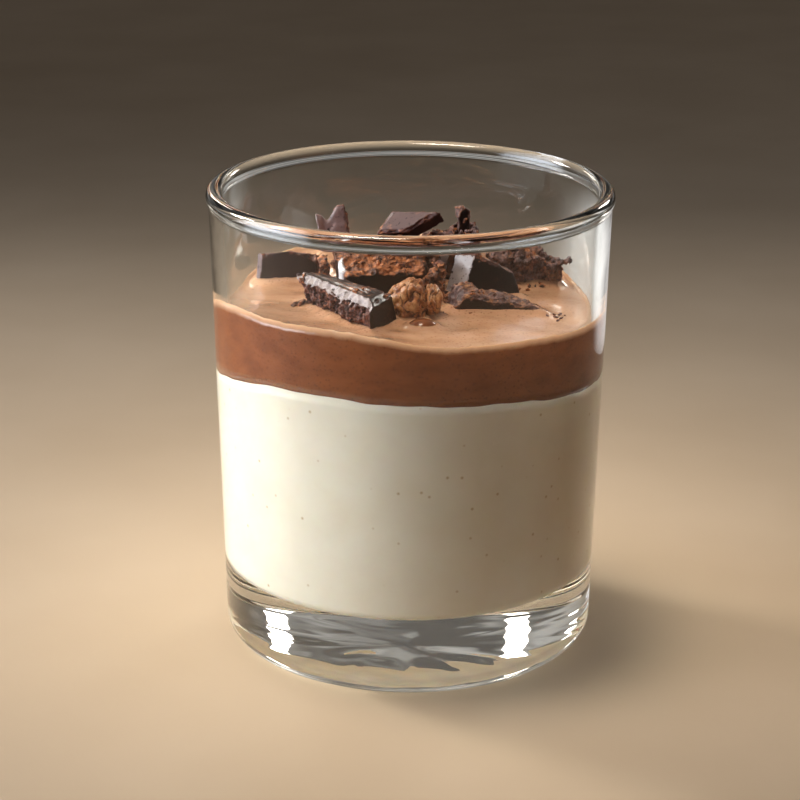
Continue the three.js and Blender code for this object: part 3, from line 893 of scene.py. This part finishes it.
def shape_back_left_shard(piece):
    """The notched shard at the back left: a tip at its left, a notch, and a peak at its right. Each
    cut grows to its full depth between two heights."""
    notch_x, half_width, notch_depth = -17.4, 2.4, 2.2
    fall_start, fall_end, fall_depth = -14.0, -12.6, 2.6
    low, high = 74, 80
    for vertex in piece.data.vertices:
        x, y, z = vertex.co / MM
        notch = notch_depth * smoothstep(half_width, 0.0, abs(x - notch_x))
        notch += fall_depth * smoothstep(fall_start, fall_end, x)
        vertex.co.z -= (notch + 0.5 * wander((x, y, z), 1.3)) * smoothstep(low, high, z) * MM
    return {}


def shape_lumps(piece):
    """Large lumps and hollows, for a piece that was torn rather than snapped."""
    lump, lump_size, hollow, hollow_size, sink = 1.5, 3.4, 0.5, 1.5, 0.2
    normals = [vertex.normal.copy() for vertex in piece.data.vertices]
    for vertex, normal in zip(piece.data.vertices, normals):
        here = vertex.co / MM
        rise = lump * wander(here, lump_size) - hollow * abs(wander(here, hollow_size)) - sink
        vertex.co += normal * rise * MM
    return {}


# Each takes a remeshed piece, and returns how pale it leaves a vertex, by vertex.
SHAPES = {
    "bar_front": shape_bar,
    "block_left": shape_left_block,
    "block_middle": shape_middle_block,
    "shard_back_left": shape_back_left_shard,
    "chunk_far_right": shape_lumps,
    "rough_back": shape_lumps,
    "rubble_right": shape_lumps,
}

# Faces painted pale: a painted sheen where they face the lamps, with some bloom. The way each faces, and
# how pale it is.
SHEEN_AND_BLOOM_FACES = {
    "wedge_right": [((-0.71, -0.65, 0.28), 0.66)],
    "sliver_right": [((0.43, -0.9, -0.12), 0.7), ((-0.07, -0.16, 0.98), 0.6)],
    "slab_right": [((-0.85, -0.38, 0.37), 0.2)],
    "plate_back": [((-0.31, -0.49, 0.82), 0.34), ((0.37, -0.87, -0.33), 0.1)],
    "shard_back_left": [((-0.91, 0.41, -0.09), 0.8), ((0.06, -0.99, 0.12), 0.46)],
}


def sheen_and_bloom_shares(piece, faces, skin, shaped):
    """How pale each vertex of a piece is, pale being a painted sheen with some bloom. skin is the CAD
    node's search tree, which gives the way that the face at a place points. The place is shifted a
    little, so that a pale face ends raggedly."""
    shares = [shaped.get(i, 0.0) for i in range(len(piece.data.vertices))]
    for vertex in piece.data.vertices:
        shift = noise.noise_vector(vertex.co / (RAGGED_SIZE * MM)) * RAGGED * MM
        here = skin.find_nearest(vertex.co + shift)[1]
        for way, share in faces:
            if here.dot(Vector(way).normalized()) > SAME_WAY:
                shares[vertex.index] = max(shares[vertex.index], share)
    return shares


def snap_chocolate(node_name, surface, cell, crag, slot_name):
    """A fine piece of chocolate over a CAD node. Its moulded faces stay smooth, and its snapped faces
    get crags, chips and grain. cell is the size of its facets and crag the depth of its crags, in mm."""
    piece = copy_of(node_name, node_name + "_chocolate")
    moulded, snapped = face_trees(piece, MOULDED.get(node_name, []))
    skin = tree_of([piece])
    apply_modifier(piece, "REMESH", mode="VOXEL", voxel_size=cell * MM)
    shaped = SHAPES[node_name](piece) if node_name in SHAPES else {}
    pale = sheen_and_bloom_shares(piece, SHEEN_AND_BLOOM_FACES.get(node_name, []), skin, shaped)
    rough = piece.vertex_groups.new(name="crag share")
    shares = []
    for vertex in piece.data.vertices:
        inwards = distance_to(moulded, vertex.co) - distance_to(snapped, vertex.co)
        chip = CHIP_WIDTH * noise.noise(vertex.co / (CHIP_SIZE * MM))
        bare = 1 - PALE_FLATNESS * smoothstep(0.1, 0.5, pale[vertex.index])
        share = smoothstep(-0.15, 0.35, inwards + chip) * bare
        shares.append(share)
        rough.add([vertex.index], share, "REPLACE")
    for texture, strength, middle in SNAPPED_RELIEFS:
        roughen(piece, texture, crag * strength, middle, "crag share")
    write_attribute(piece, "snapped", shares)
    write_attribute(piece, "pale", pale)
    out, up = stand_out(piece, cell)
    write_attribute(piece, "edge", [smoothstep(0.06, 0.3, value) for value in out])
    write_attribute(piece, "upward", [smoothstep(0.05, 0.7, value) for value in up])
    smooth(piece)
    return finish_piece(piece, surface, slot_name, node_name)


def make_nugget(surface):
    """The nut cluster: halves with a deep cleft between them, a shallower one at the left, and winding
    wrinkles along them."""
    swelling, cleft_depth, side_depth, cleft_width, side_width = 0.35, 1.1, 0.35, 0.36, 0.35
    wrinkle_depth, lump, lump_size = 0.4, 0.5, 2.8
    piece = copy_of("nugget", "nut_cluster")
    apply_modifier(piece, "REMESH", mode="VOXEL", voxel_size=NUT_CELL * MM)
    apply_modifier(piece, "SMOOTH", factor=0.5, iterations=14)
    normals = [vertex.normal.copy() for vertex in piece.data.vertices]
    for vertex, normal in zip(piece.data.vertices, normals):
        x, y, z = vertex.co / MM
        # Distances from the two clefts, which lean and bend.
        bend = 0.5 * wander((0, y, z), 2.2)
        cleft = x - (2.6 + 0.16 * (77.2 - z)) + bend
        side = x + 1.4 - 0.7 * (z - 73) + bend
        fall = cleft_depth * math.exp(-((cleft / cleft_width) ** 2))
        fall += side_depth * math.exp(-((side / side_width) ** 2))
        drift = 0.9 * noise.noise_vector(Vector((x, y, z)) / 3.0)
        wrinkle = abs(noise.noise(Vector((x / 1.3, y / 2.8, z / 2.2)) + drift))
        fall += wrinkle_depth * smoothstep(0.15, 0.0, wrinkle) - lump * wander((x, y, z), lump_size)
        vertex.co += normal * (swelling - fall) * MM
    roughen(piece, "grain", 0.08, 0.5)
    out, up = stand_out(piece, NUT_CELL)
    write_attribute(piece, "crease", [smoothstep(0.04, 0.26, -value) for value in out])
    write_attribute(piece, "upward", [smoothstep(0.2, 0.9, value) for value in up])
    smooth(piece)
    return finish_piece(piece, surface, "nut", "nugget")


def make_chip(surface):
    """The small glossy drop in front of the nut, softened all over."""
    piece = copy_of("chip_front", "front_drop")
    apply_modifier(piece, "REMESH", mode="VOXEL", voxel_size=DROP_CELL * MM)
    apply_modifier(piece, "SMOOTH", factor=0.5, iterations=12)
    smooth(piece)
    return finish_piece(piece, surface, "chocolate", "chip_front")


def make_crumbs(name, surface, heap, patches, chance):
    """Loose crumbs and flakes as one piece. Each patch is (x, y, radius, how many, smallest, largest),
    in millimetres. A crumb is a jittered block of twenty faces that lies on what is under it."""
    deselect()
    crumbs = []
    for x, y, radius, count, smallest, largest in patches:
        for _ in range(count):
            angle, reach = chance.uniform(0, 2 * math.pi), radius * math.sqrt(chance.random())
            above = Vector((x + reach * math.cos(angle), y + reach * math.sin(angle), CRUMB_DROP)) * MM
            place, facing = heap.ray_cast(above, Vector((0, 0, -1)))[:2]
            size = smallest + (largest - smallest) * chance.random() ** 2
            tilts = [chance.uniform(-CRUMB_TILT, CRUMB_TILT) for _ in range(2)]
            turn = Euler([*tilts, chance.uniform(0, ANY_WAY)])
            jitter = [chance.uniform(*CRUMB_JITTER) for _ in range(CRUMB_CORNERS)]
            if place is None:
                continue
            bpy.ops.mesh.primitive_ico_sphere_add(subdivisions=1, radius=0.5 * size * MM)
            crumb = bpy.context.object
            lean = facing.to_track_quat("Z", "Y").to_matrix() @ turn.to_matrix()
            for vertex, share in zip(crumb.data.vertices, jitter):
                flat = vertex.co * CRUMB_SHAPE * share
                vertex.co = place + facing * size * CRUMB_LIFT * MM + lean @ flat
            crumbs.append(crumb)
    pick(crumbs[0])
    for crumb in crumbs:
        crumb.select_set(True)
    bpy.ops.object.join()
    joined = bpy.context.object
    joined.name = name
    count = len(joined.data.vertices)
    for key in ("snapped", "upward"):
        write_attribute(joined, key, [1.0] * count)
    for key in ("edge", "pale"):
        write_attribute(joined, key, [0.0] * count)
    return finish_piece(joined, surface, "broken_chocolate")


# ---------------------------------------------------------------- stage


# Each lamp's place (azimuth and elevation in degrees, distance in metres), width and height in metres,
# watts, spread in degrees, soft share and colour. The main one is at the left; small ones behind give
# the wet highlights on the mousse; a low card makes the bright strip down the wall at the right; and
# a warm one fills the shaded side.
LAMPS = {
    "window_left": ((-83, 12, 0.6), (0.6, 0.46), 1.28, 80, 0.15, "#eef4ff"),
    "low_card_right": ((146, -8, 0.2), (0.16, 0.05), 0.0045, 70, 0.25, "#ffffff"),
    "window_back_left": ((-155, 24, 0.65), (0.08, 0.2), 0.045, 60, 0.12, "#fff4e6"),
    "window_back_corner": ((-121, 34, 0.65), (0.12, 0.18), 0.3, 60, 0.12, "#fff6ec"),
    "window_back_right": ((147, 22, 0.65), (0.1, 0.14), 0.06, 50, 0.12, "#fff6ec"),
    "top_light": ((-100, 80, 0.5), (0.2, 0.2), 0.15, 35, 0.2, "#fff0dc"),
    "warm_fill_right": ((62, 14, 0.6), (0.5, 0.4), 0.035, 80, 0.3, "#ff9a50"),
}
FLOOR_SIZE = 6.0
BRIGHT_WAY = (-0.25, 0.93, 0.27)  # where the room is brightest


def make_stage():
    deselect()
    bpy.ops.mesh.primitive_plane_add(size=FLOOR_SIZE)
    floor = bpy.context.object
    floor.name = "floor"
    floor.data.materials.append(painted_floor())
    for name, settings in LAMPS.items():
        softbox(name, *settings)


def make_room():
    """The room is soft grey behind the dessert, with blurred patches as any room has, and dim and warm
    on the camera's side."""
    world = bpy.data.worlds.new("studio")
    world.use_nodes = True
    tree = world.node_tree
    tree.nodes.clear()
    way = add(tree, "TexCoord").outputs["Generated"]
    towards = add(tree, "VectorMath", {"operation": "DOT_PRODUCT"}, in_0=way, in_1=BRIGHT_WAY)
    share = add(tree, "MapRange", in_0=towards.outputs["Value"], in_1=-1.0)
    bright = add(
        tree,
        "ValToRGB",
        {"ramp": [(0.5, "#1a0f08"), (0.67, "#4a443e"), (0.95, "#8d8a86")]},
        Fac=share.outputs[0],
    )
    bands = add(tree, "Mapping", Vector=way, Scale=(1.2, 1.2, 4.5))
    blur = add(tree, "TexNoise", Vector=bands.outputs[0], Scale=2.4, Detail=1.0)
    patches = add(tree, "MapRange", in_0=blur.outputs[0], in_1=0.38, in_2=0.62, in_3=0.35, in_4=1.7)
    sky = add(tree, "Background", Color=bright.outputs[0], Strength=patches.outputs[0])
    add(tree, "OutputWorld", Surface=sky.outputs[0])
    bpy.context.scene.world = world
    bpy.context.scene.view_settings.view_transform = "Standard"


def softbox(name, place, size, watts, spread, soft, colour):
    """A soft rectangular lamp that faces the dessert and isn't seen itself. Its place is an azimuth
    from the front and an elevation, both in degrees, and a distance. It fades out over its soft
    share at each side, as a diffuser does."""
    azimuth, elevation, distance = math.radians(place[0]), math.radians(place[1]), place[2]
    level = math.cos(elevation)
    way = Vector((math.sin(azimuth) * level, -math.cos(azimuth) * level, math.sin(elevation)))
    lamp = bpy.data.lights.new(name, "AREA")
    lamp.shape = "RECTANGLE"
    lamp.size, lamp.size_y = size
    lamp.energy = watts
    lamp.spread = math.radians(spread)
    lamp.color = linear(colour)[:3]
    lamp.use_nodes = True
    tree = lamp.node_tree
    tree.nodes.clear()
    across = add(tree, "SeparateXYZ", Vector=add(tree, "NewGeometry").outputs["Parametric"])
    fades = []
    for side in ("X", "Y"):
        # Distance from the nearer side, as a share of the width.
        inwards = add(tree, "Math", {"operation": "PINGPONG"}, in_0=across.outputs[side], in_1=0.5)
        fade = add(
            tree, "MapRange", {"interpolation_type": "SMOOTHSTEP"}, in_0=inwards.outputs[0], in_2=soft
        )
        fades.append(fade.outputs[0])
    both = add(tree, "Math", PRODUCT, in_0=fades[0], in_1=fades[1])
    light = add(tree, "Emission", Strength=both.outputs[0])
    add(tree, "OutputLight", Surface=light.outputs[0])
    holder = bpy.data.objects.new(name, lamp)
    bpy.context.collection.objects.link(holder)
    holder.location = CAMERA_TARGET + way * distance
    holder.rotation_euler = way.to_track_quat("Z", "Y").to_euler()
    holder.visible_camera = False


# ---------------------------------------------------------------- assembly

make_camera()

RELIEF = {
    "crags": relief("crags", "VORONOI", 1.9, noise_intensity=1.1),
    "splinters": relief("splinters", "CLOUDS", 0.9, noise_type="HARD_NOISE", noise_depth=2),
    "grain": relief("grain", "CLOUDS", 0.4, noise_depth=1),
}

MOULDED_BROWNS = ("#190a08", "#26120f")
plain = dark_chocolate(
    "tempered dark chocolate",
    MOULDED_BROWNS,
    snapped=("#2a1615", "#523030", "#93594a"),
    cocoa=("#6b3d22", "#b87346"),
    cocoa_share=0.2,
)
bloomed = dark_chocolate(
    "dark chocolate with bloom",
    MOULDED_BROWNS,
    snapped=("#32201f", "#5e4443", "#957a76"),
    cocoa=("#6d4028", "#a8744c"),
    cocoa_share=0.45,
)
dusty = dark_chocolate(
    "dark chocolate with cocoa",
    MOULDED_BROWNS,
    snapped=("#2a1510", "#5f3420", "#a86238"),
    cocoa=("#70391c", "#bd7442"),
    cocoa_share=0.75,
)

# (facet size, crag depth) of each piece, in millimetres; the finer ones are nearest.
PLAIN = {
    "bar_front": (0.2, 1.2),
    "block_left": (0.3, 0.9),
    "sliver_right": (0.22, 0.3),
    "wedge_right": (0.22, 0.9),
    "shard_top": (0.28, 0.7),
    "plate_back": (0.26, 0.8),
}
BLOOMED = {
    "slab_right": (0.22, 0.9),
    "shard_back_left": (0.26, 1.1),
    "chunk_far_right": (0.26, 1.9),
    "rough_back": (0.28, 1.4),
    "splinter_back": (0.26, 0.7),
}
DUSTY = {
    "block_middle": (0.22, 1.2),
    "chunk_centre": (0.3, 1.0),
    "chunk_behind": (0.3, 1.0),
    "shard_left": (0.22, 1.0),
    "rubble_right": (0.22, 1.1),
    "rest_back": (0.34, 1.0),
}
topping = [snap_chocolate(name, plain, *sizes, "chocolate") for name, sizes in PLAIN.items()]
for surface, pieces in ((bloomed, BLOOMED), (dusty, DUSTY)):
    topping += [
        snap_chocolate(name, surface, *sizes, "broken_chocolate") for name, sizes in pieces.items()
    ]
topping.append(make_nugget(roasted_nut()))
topping.append(make_chip(milk_chocolate_drop()))
heap = tree_of(topping)


def near_piece(x, y, z):
    """Distance in millimetres from a place on the mousse to the nearest piece of topping."""
    return distance_to(heap, Vector((x, y, z + MENISCUS_LIFT)) * MM)


make_tumbler(soda_lime_glass())
make_cream(set_cream())
mousse = make_mousse(chocolate_mousse(), near_piece)
chance = random.Random(SEED)
landing = tree_of([*topping, mousse])
# (x, y, radius, how many, smallest, largest): where crumbs fell, in millimetres.
COCOA_PATCHES = [
    (-17.0, 1.5, 3.2, 26, 0.8, 2.8),
    (-21.6, -6.6, 1.4, 11, 0.9, 2.2),
    (-9.8, -17.2, 1.5, 6, 0.5, 1.3),
    (5.6, -3.4, 2.8, 28, 0.8, 2.9),
    (-6.0, 0.5, 5.6, 40, 0.5, 2.0),
    (2.0, 3.0, 3.4, 16, 0.5, 2.0),
    (14.0, 0.8, 4.0, 10, 0.3, 0.9),
    (12.0, -8.0, 4.5, 26, 0.35, 1.1),
    (23.0, 11.0, 6.0, 40, 0.5, 1.8),
    (8.0, 24.0, 6.5, 40, 0.6, 2.2),
    (-9.0, -15.0, 4.5, 8, 0.3, 0.8),
    (0.0, 2.0, 22.0, 40, 0.3, 0.9),
]
DARK_PATCHES = [
    (-16.5, 3.0, 3.0, 8, 0.8, 2.2),
    (5.0, -1.0, 2.6, 8, 0.8, 2.2),
    (-2.0, 4.0, 6.0, 16, 0.6, 2.2),
    (22.0, 12.0, 5.0, 12, 0.6, 2.0),
    (27.8, -11.0, 2.6, 9, 0.5, 1.5),
    (0.0, 2.0, 24.0, 26, 0.3, 0.9),
]
make_crumbs("cocoa_crumbs", dusty, landing, COCOA_PATCHES, chance)
make_crumbs("dark_crumbs", plain, landing, DARK_PATCHES, chance)
make_stage()
make_room()
